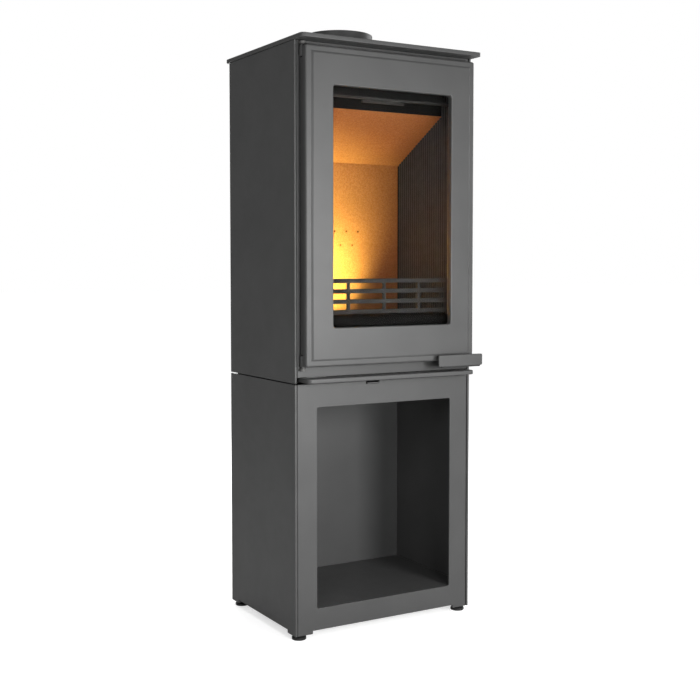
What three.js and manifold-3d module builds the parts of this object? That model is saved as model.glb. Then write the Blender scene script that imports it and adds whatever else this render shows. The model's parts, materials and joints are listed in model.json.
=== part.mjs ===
// Free-standing wood burning stove on a log store, built as separate plates, castings and fittings.
// Millimetres, +Z up, the door faces -Y and its hinges are on the -X side.
// Depths are given from the front of the body, and the whole stove is moved so that its origin is at the
// middle of its footprint, on the floor.

import * as THREE from 'three';
import { mergeVertices } from 'three/addons/utils/BufferGeometryUtils.js';
import Module from 'manifold-3d';

const manifold = await Module();
manifold.setup();

// ---- driving dimensions -------------------------------------------------------------------------------

const GAP = 0.3; // between pieces that touch
const BODY_WIDTH = 432;
const BODY_DEPTH = 308;
const SIDE_PLATE = 4.5;
const SHEET = 3;
const SHADOW_GAP = 0.6; // between a side panel and the front beside it

const LEG_BOTTOM = 10;
const BODY_BOTTOM = 16.5;
const BASE_TOP = 524.5;
const BODY_FLOOR = 526.7;
const TOP_PLATE_UNDERSIDE = 1210.5;
const TOP_PLATE = 8.5;
const COLLAR_TOP = 1271;

const FRONT_REACH = 37; // of the top plate and the ash lip
const HANDLE_REACH = 45;
const BACK_REACH = 15; // of the top plate
const SPIGOT_END = BODY_DEPTH + 26;

const DOOR_HALF = 205.2;
const DOOR_BOTTOM = 561;
const DOOR_TOP = 1199;
const DOOR_RIM_FRONT = -28;
const DOOR_FACE = -31;
const DOOR_BACK = -13.5;
const WINDOW_HALF = 143.7;
const WINDOW_BOTTOM = 639;
const WINDOW_TOP = 1123;

const HINGE_X = -201;
const HINGE_Y = -7;
const SPINDLE_X = 116;
const SPINDLE_Z = 569;

const STORE_HALF = 165;
const STORE_BOTTOM = 61.6;
const STORE_TOP = 476;
const STORE_BACK = 283;

const FIREBOX_HALF = 190;
const FIREBOX_BOTTOM = 607;
const FIREBOX_TOP = 1180;
const FIREBOX_BACK = 285;
const LINING_FACE = 169;
const BOARD_FACE = 218;

const FLUE_RADIUS = 75;
const FLUE_Y = 200;
const INLET_RADIUS = 40;
const INLET_Z = 575;

const HALF = BODY_WIDTH / 2;
const INSIDE = HALF - SIDE_PLATE - GAP;
const FRONT_HALF = HALF - SIDE_PLATE - SHADOW_GAP;
const TOP = TOP_PLATE_UNDERSIDE - GAP;

// ---- materials ----------------------------------------------------------------------------------------

const finish = (color, roughness, metalness) => new THREE.MeshStandardMaterial({ color, roughness, metalness });
const PAINT = finish(0x4d4d4c, 0.55, 0.3);
const CASTING = finish(0x3a3a39, 0.7, 0.4);
const STEEL = finish(0x8a8a88, 0.4, 0.9);
const BLACK = finish(0x161616, 0.6, 0.1);
const BOARD = finish(0xd0a65c, 0.95, 0);
const ROPE = finish(0x55524c, 1, 0);
const GLASS = new THREE.MeshStandardMaterial({ color: 0xcfd6d4, roughness: 0.05, transparent: true, opacity: 0.3 });

// ---- shapes -------------------------------------------------------------------------------------------

const stove = new THREE.Group();
stove.position.y = (HANDLE_REACH - SPIGOT_END) / 2;

function part(name, geometry, material) {
  const mesh = new THREE.Mesh(geometry, material);
  mesh.name = name;
  stove.add(mesh);
  return mesh;
}

function block(x0, x1, y0, y1, z0, z1) {
  const geometry = new THREE.BoxGeometry(x1 - x0, y1 - y0, z1 - z0);
  return geometry.translate((x0 + x1) / 2, (y0 + y1) / 2, (z0 + z1) / 2);
}

// Outlines are drawn in the plane across the extrusion: (y, z) along X, (x, z) along Y and (x, y) along Z.
const extrude = (shape, depth) => new THREE.ExtrudeGeometry(shape, { depth, bevelEnabled: false, curveSegments: 2 });
const ALONG_X = new THREE.Matrix4().makeBasis(
  new THREE.Vector3(0, 1, 0),
  new THREE.Vector3(0, 0, 1),
  new THREE.Vector3(1, 0, 0),
);
const alongX = (shape, x0, x1) => extrude(shape, x1 - x0).applyMatrix4(ALONG_X).translate(x0, 0, 0);
const alongY = (shape, y0, y1) => extrude(shape, y1 - y0).rotateX(Math.PI / 2).translate(0, y1, 0);
const alongZ = (shape, z0, z1) => extrude(shape, z1 - z0).translate(0, 0, z0);

const outline = (points) => new THREE.Shape(points.map(([u, v]) => new THREE.Vector2(u, v)));

function roundRect(u0, u1, v0, v1, radius, Kind = THREE.Shape) {
  const shape = new Kind();
  shape.moveTo(u0 + radius, v0);
  shape.lineTo(u1 - radius, v0);
  shape.absarc(u1 - radius, v0 + radius, radius, -Math.PI / 2, 0, false);
  shape.lineTo(u1, v1 - radius);
  shape.absarc(u1 - radius, v1 - radius, radius, 0, Math.PI / 2, false);
  shape.lineTo(u0 + radius, v1);
  shape.absarc(u0 + radius, v1 - radius, radius, Math.PI / 2, Math.PI, false);
  shape.lineTo(u0, v0 + radius);
  shape.absarc(u0 + radius, v0 + radius, radius, Math.PI, 1.5 * Math.PI, false);
  return shape;
}

function withHoles(shape, holes) {
  shape.holes.push(...holes);
  return shape;
}

// A round hole whose flats touch the circle of that radius.
function roundHole(u, v, radius, sides = 48) {
  const corners = [];
  for (let i = 0; i < sides; i += 1) {
    const angle = (2 * Math.PI * i) / sides;
    const reach = radius / Math.cos(Math.PI / sides);
    corners.push(new THREE.Vector2(u + reach * Math.cos(angle), v + reach * Math.sin(angle)));
  }
  return new THREE.Path(corners);
}

const ring = (u0, u1, v0, v1, width, radius) =>
  withHoles(roundRect(u0, u1, v0, v1, radius), [
    roundRect(u0 + width, u1 - width, v0 + width, v1 - width, Math.max(radius - width, 0.5), THREE.Path),
  ]);

const rodZ = (x, y, radius, z0, z1, sides = 16) =>
  new THREE.CylinderGeometry(radius, radius, z1 - z0, sides).rotateX(Math.PI / 2).translate(x, y, (z0 + z1) / 2);
const rodY = (x, z, radius, y0, y1, sides = 16) =>
  new THREE.CylinderGeometry(radius, radius, y1 - y0, sides).translate(x, (y0 + y1) / 2, z);
const rodX = (y, z, radius, x0, x1, sides = 16) =>
  new THREE.CylinderGeometry(radius, radius, x1 - x0, sides).rotateZ(Math.PI / 2).translate((x0 + x1) / 2, y, z);

function toSolid(geometry) {
  const bare = geometry.clone();
  bare.deleteAttribute('normal');
  bare.deleteAttribute('uv');
  const merged = mergeVertices(bare, 1e-4);
  return new manifold.Manifold(
    new manifold.Mesh({
      numProp: 3,
      vertProperties: new Float32Array(merged.attributes.position.array),
      triVerts: new Uint32Array(merged.index.array),
    }),
  );
}

function toGeometry(solid) {
  const mesh = solid.getMesh();
  const geometry = new THREE.BufferGeometry();
  geometry.setAttribute('position', new THREE.BufferAttribute(mesh.vertProperties, 3));
  geometry.setIndex(new THREE.BufferAttribute(mesh.triVerts, 1));
  geometry.computeVertexNormals();
  return geometry;
}

const join = (first, ...others) => toGeometry(others.reduce((s, g) => s.add(toSolid(g)), toSolid(first)));
const cut = (first, ...tools) => toGeometry(tools.reduce((s, g) => s.subtract(toSolid(g)), toSolid(first)));

const SIDES = [
  ['left', -1],
  ['right', 1],
];
const mirrored = (side, x0, x1, y0, y1, z0, z1) =>
  side < 0 ? block(-x1, -x0, y0, y1, z0, z1) : block(x0, x1, y0, y1, z0, z1);

// ---- log store: the base ------------------------------------------------------------------------------

const LEG = 36; // width of the corner legs that reach below the body

function panelWithLegs(u0, u1, top) {
  return outline([
    [u0, LEG_BOTTOM],
    [u0 + LEG, LEG_BOTTOM],
    [u0 + LEG + 2, BODY_BOTTOM],
    [u1 - LEG - 2, BODY_BOTTOM],
    [u1 - LEG, LEG_BOTTOM],
    [u1, LEG_BOTTOM],
    [u1, top],
    [u0, top],
  ]);
}

for (const [name, side] of SIDES) {
  const inner = side * (HALF - SIDE_PLATE);
  const outer = side * HALF;
  const panel = alongX(panelWithLegs(0, BODY_DEPTH, BASE_TOP), Math.min(inner, outer), Math.max(inner, outer));
  part(`base_side_${name}`, panel, PAINT);
}

const RAIL_BOTTOM = 18; // of the rails that carry the feet

// Front of the log store: one plate with the opening, folded back at both sides, notched at the top
// where the tab of the air slide comes through.
const NOTCH_LEFT = -48;
const NOTCH_RIGHT = -16;
const NOTCH_BOTTOM = 518;

function foldedFront(face, z0, z1) {
  const folds = SIDES.flatMap(([, side]) => [
    mirrored(side, FRONT_HALF - SHEET, FRONT_HALF, 4, 22, z0, z1),
    mirrored(side, FRONT_HALF - SHEET, INSIDE, 19, 22, z0, z1),
  ]);
  return join(face, ...folds);
}

const storeOpening = roundRect(-STORE_HALF, STORE_HALF, STORE_BOTTOM, STORE_TOP, 4, THREE.Path);
const storeFace = alongY(withHoles(panelWithLegs(-FRONT_HALF, FRONT_HALF, BASE_TOP), [storeOpening]), 0.6, 5);
part(
  'base_front',
  cut(
    foldedFront(storeFace, RAIL_BOTTOM + 16, BASE_TOP),
    block(NOTCH_LEFT, NOTCH_RIGHT, -5, 30, NOTCH_BOTTOM, BASE_TOP + 5),
  ),
  PAINT,
);

part('base_back', block(-INSIDE, INSIDE, STORE_BACK, STORE_BACK + SHEET, RAIL_BOTTOM + 13, BASE_TOP - 4), PAINT);

// Shelves of the log store: full width behind the folds of the front, and narrower between them.
function shelf(z0, z1) {
  const narrow = FRONT_HALF - SHEET - GAP;
  const wide = block(-INSIDE, INSIDE, 22.5, STORE_BACK - GAP, z0, z1);
  return join(wide, block(-narrow, narrow, 5.3, 25, z0, z1));
}
part('store_floor', shelf(STORE_BOTTOM - 3.2, STORE_BOTTOM - 0.2), PAINT);
part('store_ceiling', shelf(492, 494), PAINT);

// Deck under the stove body, open in the middle for the air and for the tab of the air slide.
part(
  'base_deck',
  cut(
    block(-INSIDE, INSIDE, 22.5, STORE_BACK - GAP, BASE_TOP - 5.5, BASE_TOP - 2.5),
    block(-122, -8, 112, 168, 500, 560),
    block(2, 102, 112, 168, 500, 560),
    block(-54, -10, 10, 118, 500, 560),
  ),
  PAINT,
);

// A rail across the front and one across the rear carry the levelling feet in welded nuts.
const FOOT_INSET = 17;
const RAIL_WIDTH = 34;
const ROWS = [
  ['front', FOOT_INSET],
  ['rear', BODY_DEPTH - FOOT_INSET],
];
for (const [row, y] of ROWS) {
  const front = row === 'front';
  const half = front ? FRONT_HALF - SHEET - GAP : INSIDE;
  const y0 = front ? 5.4 : BODY_DEPTH - RAIL_WIDTH + 8;
  const y1 = front ? 5.4 + RAIL_WIDTH : BODY_DEPTH;
  const nuts = SIDES.map(([, side]) => rodZ(side * (HALF - FOOT_INSET), y, 9, RAIL_BOTTOM + 3, RAIL_BOTTOM + 11, 6));
  const holes = SIDES.map(([, side]) => rodZ(side * (HALF - FOOT_INSET), y, 5.6, 0, 60, 12));
  part(`foot_rail_${row}`, cut(join(block(-half, half, y0, y1, RAIL_BOTTOM, RAIL_BOTTOM + 4), ...nuts), ...holes), STEEL);
  for (const [name, side] of SIDES) {
    const x = side * (HALF - FOOT_INSET);
    part(`foot_${row}_${name}`, join(rodZ(x, y, 15, 0, 8, 28), rodZ(x, y, 5, 7, 46, 12)), CASTING);
  }
}

// ---- stove body: outer casing -------------------------------------------------------------------------

for (const [name, side] of SIDES) {
  part(`body_side_${name}`, mirrored(side, HALF - SIDE_PLATE, HALF, 0, BODY_DEPTH, BODY_FLOOR, TOP), PAINT);
}

const FRAME_BOTTOM = 538.5;
const MOUTH_HALF = 164;
const MOUTH_TOP = 1153;
const mouth = roundRect(-MOUTH_HALF, MOUTH_HALF, FIREBOX_BOTTOM, MOUTH_TOP, 3, THREE.Path);
const bodyFace = alongY(withHoles(roundRect(-FRONT_HALF, FRONT_HALF, FRAME_BOTTOM, TOP, 0.5), [mouth]), 0.6, 5);
part('body_front', foldedFront(bodyFace, FRAME_BOTTOM, TOP), PAINT);

const LIP_HALF = 204.5;
const lipOutline = roundRect(-LIP_HALF, LIP_HALF, -FRONT_REACH, 50, 12);
const lip = cut(alongZ(lipOutline, 529, 538), block(-HALF, HALF, 18, 60, 500, 560));
part('ash_lip', lip, PAINT);

// Floor of the body, with two rows of air ports that the slide below it covers and uncovers.
const PORT_WIDTH = 20;
const PORT_LENGTH = 13;
const PORT_PITCH = 44;
const PORT_ROWS = [126, 154];
const SLIDE_TRAVEL = 14; // from pushed in and shut to pulled out and open
const airPorts = (shift) =>
  PORT_ROWS.flatMap((row) =>
    [-2, -1, 0, 1, 2].map((i) => {
      const x = i * PORT_PITCH - 10;
      const y = row + shift;
      return block(x - PORT_WIDTH / 2, x + PORT_WIDTH / 2, y - PORT_LENGTH / 2, y + PORT_LENGTH / 2, 500, 560);
    }),
  );
const FLOOR_FRONT = 22.5;
const floorBoard = block(-INSIDE, INSIDE, FLOOR_FRONT, FIREBOX_BACK + 8, BODY_FLOOR, BODY_FLOOR + 4);
part('body_floor', cut(floorBoard, ...airPorts(0)), PAINT);

const spigotHole = roundHole(0, INLET_Z, INLET_RADIUS + 0.5, 36);
const vents = [];
for (let column = -3; column <= 3; column += 1) {
  for (const z of [700, 1100]) {
    vents.push(roundRect(column * 46 - 17, column * 46 + 17, z, z + 6, 2.8, THREE.Path));
  }
}
const BACK_Y = 300;
const rearShape = withHoles(roundRect(-INSIDE, INSIDE, BODY_FLOOR + 5, TOP, 0.5), [spigotHole, ...vents]);
part('rear_cover', alongY(rearShape, BACK_Y, BACK_Y + SHEET), PAINT);

const plateOutline = roundRect(-HALF - 2.5, HALF + 2.5, -FRONT_REACH, BODY_DEPTH + BACK_REACH, 9);
const flueHole = roundHole(0, FLUE_Y, FLUE_RADIUS + 1);
const topPlate = extrude(withHoles(plateOutline, [flueHole]), TOP_PLATE).translate(0, 0, TOP_PLATE_UNDERSIDE);
part('top_plate', topPlate, PAINT);

// ---- firebox ------------------------------------------------------------------------------------------

const WALL = 4;
for (const [name, side] of SIDES) {
  const wall = mirrored(side, FIREBOX_HALF, FIREBOX_HALF + WALL, 5.4, FIREBOX_BACK, FIREBOX_BOTTOM + GAP, FIREBOX_TOP);
  part(`firebox_${name}_wall`, wall, CASTING);
}
const RIM = FIREBOX_HALF + WALL;
part('firebox_floor', block(-RIM, RIM, 5.4, FIREBOX_BACK, FIREBOX_BOTTOM - WALL, FIREBOX_BOTTOM), CASTING);
part(
  'firebox_back_wall',
  block(-RIM, RIM, FIREBOX_BACK + GAP, FIREBOX_BACK + WALL, FIREBOX_BOTTOM - WALL, FIREBOX_TOP + WALL),
  CASTING,
);
part(
  'firebox_roof',
  cut(
    block(-RIM, RIM, 5.4, FIREBOX_BACK, FIREBOX_TOP + GAP, FIREBOX_TOP + WALL),
    rodZ(0, FLUE_Y, FLUE_RADIUS - 3, 1100, 1300, 40),
  ),
  CASTING,
);

// Flue collar: a flange bolted to the firebox roof and a spigot through the top plate, turned in one piece.
const collarProfile = [
  [FLUE_RADIUS - 3, FIREBOX_TOP + WALL + GAP],
  [FLUE_RADIUS + 16, FIREBOX_TOP + WALL + GAP],
  [FLUE_RADIUS + 16, FIREBOX_TOP + WALL + 6],
  [FLUE_RADIUS, FIREBOX_TOP + WALL + 8],
  [FLUE_RADIUS, COLLAR_TOP],
  [FLUE_RADIUS - 3, COLLAR_TOP],
  [FLUE_RADIUS - 3, FIREBOX_TOP + WALL + GAP],
].map(([r, z]) => new THREE.Vector2(r, z));
const collar = new THREE.LatheGeometry(collarProfile, 48).rotateX(Math.PI / 2).translate(0, FLUE_Y, 0);
part('flue_collar', collar, PAINT);

// Ribbed cast linings on both sides of the fire, cut to a slope that carries the baffle board.
const RIB_PITCH = 8.5;
const RIB_DEPTH = 3;
const LINING_FRONT = 20;
function liningOutline(side) {
  const points = [];
  const back = side * (FIREBOX_HALF - GAP);
  const valley = side * (LINING_FACE + RIB_DEPTH);
  const crest = side * LINING_FACE;
  points.push([back, LINING_FRONT], [valley, LINING_FRONT]);
  for (let y = LINING_FRONT + 1.5; y + RIB_PITCH < BOARD_FACE; y += RIB_PITCH) {
    points.push([valley, y], [crest, y + 1.7], [crest, y + 5.3], [valley, y + 7]);
  }
  points.push([valley, BOARD_FACE + 24], [back, BOARD_FACE + 24]);
  return outline(side > 0 ? points : points.reverse());
}
const HEARTH_TOP = 645;
const BAFFLE_BACK_Z = 995;
const BAFFLE_FRONT_Z = 1089;
const BAFFLE_FRONT_Y = 46;
const slopeCut = outline([
  [BAFFLE_FRONT_Y - GAP, 1200],
  [BAFFLE_FRONT_Y - GAP, BAFFLE_FRONT_Z - GAP],
  [BOARD_FACE, BAFFLE_BACK_Z - GAP],
  [BOARD_FACE + 30, BAFFLE_BACK_Z - GAP],
  [BOARD_FACE + 30, 1200],
]);
for (const [name, side] of SIDES) {
  const lining = alongZ(liningOutline(side), HEARTH_TOP, 1150);
  part(`lining_${name}`, cut(lining, alongX(slopeCut, -FIREBOX_HALF, FIREBOX_HALF)), CASTING);
}

// Back board with two rows of secondary air holes, and the duct behind it that feeds them.
const HOLE_PITCH = 30.5;
const airHoles = [];
for (let column = -2; column <= 2; column += 1) {
  airHoles.push(roundHole(column * HOLE_PITCH, 841, 2.2, 8));
}
for (let column = -2; column < 2; column += 1) {
  airHoles.push(roundHole((column + 0.5) * HOLE_PITCH, 810, 2.2, 8));
}
const BOARD_THICK = 24;
const boardHalf = LINING_FACE + RIB_DEPTH - 3.5;
const boardShape = withHoles(roundRect(-boardHalf, boardHalf, HEARTH_TOP + 12.5, BAFFLE_BACK_Z - 0.5, 0.5), airHoles);
part('back_board', alongY(boardShape, BOARD_FACE, BOARD_FACE + BOARD_THICK), BOARD);

const duct = outline([
  [-90, FIREBOX_BACK - GAP],
  [-90, BOARD_FACE + BOARD_THICK + GAP],
  [-86, BOARD_FACE + BOARD_THICK + GAP],
  [-86, FIREBOX_BACK - 4],
  [86, FIREBOX_BACK - 4],
  [86, BOARD_FACE + BOARD_THICK + GAP],
  [90, BOARD_FACE + BOARD_THICK + GAP],
  [90, FIREBOX_BACK - GAP],
]);
part('back_air_duct', alongZ(duct, FIREBOX_BOTTOM + GAP, 880), STEEL);

// Sloping baffle board on the linings, an iron strip across its front end, and a flat steel baffle above
// it that stands on the board on two folded sides.
const BAFFLE_THICK = 22;
const baffleShape = outline([
  [BAFFLE_FRONT_Y, BAFFLE_FRONT_Z],
  [BOARD_FACE, BAFFLE_BACK_Z],
  [BOARD_FACE + BOARD_THICK, BAFFLE_BACK_Z],
  [BOARD_FACE + BOARD_THICK, BAFFLE_BACK_Z + BAFFLE_THICK],
  [BAFFLE_FRONT_Y, BAFFLE_FRONT_Z + BAFFLE_THICK],
].reverse());
const baffleHalf = FIREBOX_HALF - 1;
part('baffle_board', alongX(baffleShape, -baffleHalf, baffleHalf), BOARD);
const stripHalf = LINING_FACE - 0.6;
part(
  'baffle_front_strip',
  block(-stripHalf, stripHalf, BAFFLE_FRONT_Y - 4, BAFFLE_FRONT_Y - GAP, BAFFLE_FRONT_Z, BAFFLE_FRONT_Z + BAFFLE_THICK),
  CASTING,
);

const upperBaffle = outline([
  [95, 1150.5],
  [FIREBOX_BACK - 20, 1150.5],
  [FIREBOX_BACK - 20, 1154.5],
  [99, 1154.5],
  [99, 1164],
  [95, 1164],
]);
const baffleFall = (BAFFLE_FRONT_Z - BAFFLE_BACK_Z) / (BOARD_FACE + BOARD_THICK - BAFFLE_FRONT_Y);
const topOfBaffle = (y) => BAFFLE_FRONT_Z + BAFFLE_THICK - (y - BAFFLE_FRONT_Y) * baffleFall;
const foldedSide = outline([
  [110, topOfBaffle(110) + GAP],
  [238, topOfBaffle(238) + GAP],
  [238, 1152],
  [110, 1152],
]);
const upperSides = SIDES.map(([, side]) => {
  const ends = [side * (FIREBOX_HALF - 4), side * (FIREBOX_HALF - 1)];
  return alongX(foldedSide, Math.min(...ends), Math.max(...ends));
});
part('upper_baffle', join(alongX(upperBaffle, -FIREBOX_HALF + 1, FIREBOX_HALF - 1), ...upperSides), STEEL);

// Air wash: the folded deflector that turns the hot air down the glass, and its clip.
const airWash = outline([
  [6, 1106.5],
  [13, 1106.5],
  [13, 1110],
  [40, 1137],
  [40, 1140.5],
  [11, 1111],
  [6, 1111],
]);
const washHalf = MOUTH_HALF - 3;
part('air_wash_deflector', alongX(airWash, -washHalf, washHalf), CASTING);
part('air_wash_clip', join(block(-52, 50, 9, 16, 1100.2, 1104.6), block(-44, 42, 10, 12, 1104, 1106.2)), STEEL);

// Hearth plate on two rails, with a loose slotted grate in the middle and the ash pan below.
const GRATE_HALF = 75;
const GRATE_FRONT = 62;
const GRATE_BACK = 172;
part(
  'hearth_plate',
  cut(
    block(-FIREBOX_HALF + 1, FIREBOX_HALF - 1, 24, FIREBOX_BACK - 45, HEARTH_TOP - 12, HEARTH_TOP - GAP),
    block(-GRATE_HALF, GRATE_HALF, GRATE_FRONT, GRATE_BACK, 600, 700),
  ),
  CASTING,
);
for (const [name, side] of SIDES) {
  const rail = mirrored(side, 122, FIREBOX_HALF - 8, 24, 238, FIREBOX_BOTTOM + GAP, HEARTH_TOP - 12.4);
  part(`hearth_rail_${name}`, rail, STEEL);
}
const slots = [];
for (let column = -3; column <= 3; column += 1) {
  slots.push(roundRect(column * 19 - 4, column * 19 + 4, GRATE_FRONT + 12, GRATE_BACK - 12, 3.8, THREE.Path));
}
const grateEdge = roundRect(-GRATE_HALF + 0.6, GRATE_HALF - 0.6, GRATE_FRONT + 0.6, GRATE_BACK - 0.6, 2);
const grateLugs = [
  block(-GRATE_HALF - 4, GRATE_HALF + 4, GRATE_FRONT + 20, GRATE_FRONT + 32, HEARTH_TOP, HEARTH_TOP + 3),
  block(-GRATE_HALF - 4, GRATE_HALF + 4, GRATE_BACK - 32, GRATE_BACK - 20, HEARTH_TOP, HEARTH_TOP + 3),
];
const grateSlab = alongZ(withHoles(grateEdge, slots), HEARTH_TOP - 8, HEARTH_TOP + 2);
const ledges = grateLugs.map((g) => cut(g, block(-GRATE_HALF + 5, GRATE_HALF - 5, 0, 300, 600, 700)));
part('grate', join(grateSlab, ...ledges), CASTING);

const PAN_TOP = HEARTH_TOP - 13;
const pan = cut(
  block(-112, 112, 26, 212, FIREBOX_BOTTOM + GAP, PAN_TOP),
  block(-110.5, 110.5, 27.5, 210.5, FIREBOX_BOTTOM + 2, PAN_TOP + 5),
);
const panTab = alongY(
  withHoles(roundRect(-26, 26, FIREBOX_BOTTOM + 8, FIREBOX_BOTTOM + 20, 4), [
    roundRect(-18, 18, FIREBOX_BOTTOM + 11, FIREBOX_BOTTOM + 17, 2.5, THREE.Path),
  ]),
  23.5,
  26.5,
);
part('ash_pan', join(pan, panTab), STEEL);

// Front fence that keeps the logs in, and the sloping apron below it.
const FENCE_BOTTOM = 664;
const FENCE_TOP = 737;
const FENCE_BAR = 9;
const SLOT_HIGH = (FENCE_TOP - FENCE_BOTTOM - 4 * FENCE_BAR) / 3;
const FENCE_HALF = MOUTH_HALF - 1.5;
const COLUMN_PITCH = 86.7;
const POST = 7;
const fenceHoles = [];
const edges = [-FENCE_HALF + FENCE_BAR - POST / 2, -COLUMN_PITCH, 0, COLUMN_PITCH, FENCE_HALF - FENCE_BAR + POST / 2];
for (let row = 0; row < 3; row += 1) {
  const z = FENCE_BOTTOM + FENCE_BAR + row * (SLOT_HIGH + FENCE_BAR);
  for (let column = 0; column + 1 < edges.length; column += 1) {
    fenceHoles.push(
      roundRect(edges[column] + POST / 2, edges[column + 1] - POST / 2, z, z + SLOT_HIGH, 2, THREE.Path),
    );
  }
}
const fenceShape = withHoles(roundRect(-FENCE_HALF, FENCE_HALF, FENCE_BOTTOM, FENCE_TOP, 2), fenceHoles);
part('log_fence', alongY(fenceShape, 7, 12), CASTING);

const apronTop = [];
const apronUnder = [];
for (let step = 0; step <= 6; step += 1) {
  const angle = (step / 6) * (Math.PI / 2);
  apronTop.push([6 + 17 * (1 - Math.cos(angle)), 640 + 22 * Math.sin(angle)]);
  apronUnder.push([8.5 + 14.5 * (1 - Math.cos(angle)), 640 + 19.5 * Math.sin(angle)]);
}
const apron = outline([...apronTop, ...apronUnder.reverse()].reverse());
part('hearth_apron', alongX(apron, -FENCE_HALF, FENCE_HALF), CASTING);

// ---- primary air slide --------------------------------------------------------------------------------

const SLIDE_Z = 522.4;
const SLIDE_LEFT = -130;
const SLIDE_RIGHT = 110;
const slidePlate = cut(block(SLIDE_LEFT, SLIDE_RIGHT, 100, 180, SLIDE_Z, SLIDE_Z + 2.5), ...airPorts(SLIDE_TRAVEL));
const TAB_LEFT = NOTCH_LEFT + 1.5;
const TAB_RIGHT = NOTCH_RIGHT - 1.5;
const TAB_BOTTOM = NOTCH_BOTTOM + 0.6;
const tab = block(TAB_LEFT, TAB_RIGHT, -1.5, 112, TAB_BOTTOM, TAB_BOTTOM + 2.5);
const riser = block(TAB_LEFT, TAB_RIGHT, 102, 112, TAB_BOTTOM, SLIDE_Z + 0.5);
part('air_slide', join(slidePlate, tab, riser), STEEL);
for (const [name, x0] of [
  ['left', SLIDE_LEFT - 6],
  ['right', SLIDE_RIGHT + 0.8],
]) {
  part(`air_slide_guide_${name}`, block(x0, x0 + 5.2, 84, 186, SLIDE_Z + 0.8, BODY_FLOOR - GAP), STEEL);
}

// ---- rear air inlet -----------------------------------------------------------------------------------

const inletProfile = [
  [INLET_RADIUS - 2, BACK_Y - 2],
  [INLET_RADIUS, BACK_Y - 2],
  [INLET_RADIUS, BACK_Y + SHEET + GAP],
  [INLET_RADIUS + 12, BACK_Y + SHEET + GAP],
  [INLET_RADIUS + 12, BACK_Y + SHEET + 2.5],
  [INLET_RADIUS, BACK_Y + SHEET + 2.5],
  [INLET_RADIUS, SPIGOT_END],
  [INLET_RADIUS - 2, SPIGOT_END],
  [INLET_RADIUS - 2, BACK_Y - 2],
].map(([r, y]) => new THREE.Vector2(r, y));
part('air_inlet_spigot', new THREE.LatheGeometry(inletProfile, 36).translate(0, 0, INLET_Z), STEEL);

// ---- door ---------------------------------------------------------------------------------------------

const windowHole = () => roundRect(-WINDOW_HALF, WINDOW_HALF, WINDOW_BOTTOM, WINDOW_TOP, 5.5, THREE.Path);
const RIM_SIDE = 15;
const RIM_END = 11.5;
const slab = alongY(
  withHoles(roundRect(-DOOR_HALF, DOOR_HALF, DOOR_BOTTOM, DOOR_TOP, 4), [windowHole()]),
  DOOR_RIM_FRONT,
  DOOR_BACK,
);
const raised = alongY(
  withHoles(
    roundRect(-DOOR_HALF + RIM_SIDE, DOOR_HALF - RIM_SIDE, DOOR_BOTTOM + RIM_END, DOOR_TOP - RIM_END, 2),
    [windowHole()],
  ),
  DOOR_FACE,
  DOOR_RIM_FRONT + 1,
);
// The back of the casting: a rebate for the glass, and a raised ring with the channel for the rope seal.
const GLASS_HALF = 154;
const GLASS_BOTTOM = 629;
const GLASS_TOP = 1133;
const GLASS_BACK = -13.5;
const REBATE = -18.5;
const SEAL_HALF = 182.5;
const SEAL_BOTTOM = 589;
const SEAL_TOP = 1171;
const RING_BACK = -4;
const backRing = alongY(
  ring(-193, 193, SEAL_BOTTOM - 10.5, SEAL_TOP + 10.5, 30, 6),
  DOOR_BACK - 1,
  RING_BACK,
);
const rebate = alongY(roundRect(-GLASS_HALF - 2, GLASS_HALF + 2, GLASS_BOTTOM - 2, GLASS_TOP + 2, 3), REBATE, 5);
const channel = alongY(ring(-SEAL_HALF, SEAL_HALF, SEAL_BOTTOM, SEAL_TOP, 12, 6), -12, 5);

function knuckle(z0, z1) {
  const barrel = rodZ(HINGE_X, HINGE_Y, 6, z0, z1, 20);
  const web = block(HINGE_X - 4, HINGE_X + 6, DOOR_BACK - 1, HINGE_Y, z0, z1);
  return join(barrel, web);
}
const KNUCKLE = 22;
const pinBore = (z0, z1) => rodZ(HINGE_X, HINGE_Y, 3.9, z0, z1, 20);
const doorCasting = cut(
  join(slab, raised, backRing, knuckle(DOOR_TOP - KNUCKLE, DOOR_TOP), knuckle(DOOR_BOTTOM, DOOR_BOTTOM + KNUCKLE)),
  rebate,
  channel,
  pinBore(DOOR_TOP - KNUCKLE - 1, DOOR_TOP + 1),
  pinBore(DOOR_BOTTOM - 1, DOOR_BOTTOM + KNUCKLE + 1),
  rodY(SPINDLE_X, SPINDLE_Z, 4.4, -40, 0, 20),
);
part('door_frame', doorCasting, PAINT);

part('door_glass', block(-GLASS_HALF, GLASS_HALF, GLASS_BACK - 4, GLASS_BACK, GLASS_BOTTOM, GLASS_TOP), GLASS);
part(
  'glass_gasket',
  alongY(ring(-GLASS_HALF, GLASS_HALF, GLASS_BOTTOM, GLASS_TOP, 8, 2), REBATE + 0.2, GLASS_BACK - 4.2),
  ROPE,
);
part(
  'rope_seal',
  alongY(ring(-SEAL_HALF + 0.3, SEAL_HALF - 0.3, SEAL_BOTTOM + 0.3, SEAL_TOP - 0.3, 11.4, 5.7), -11.7, 0.2),
  ROPE,
);

// A steel strip down each side clamps the glass against its gasket.
for (const [name, side] of SIDES) {
  const strip = mirrored(side, GLASS_HALF - 7, GLASS_HALF + 5, GLASS_BACK + GAP, GLASS_BACK + 2, 660, 1102);
  part(`glass_retainer_${name}`, strip, STEEL);
}

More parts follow.
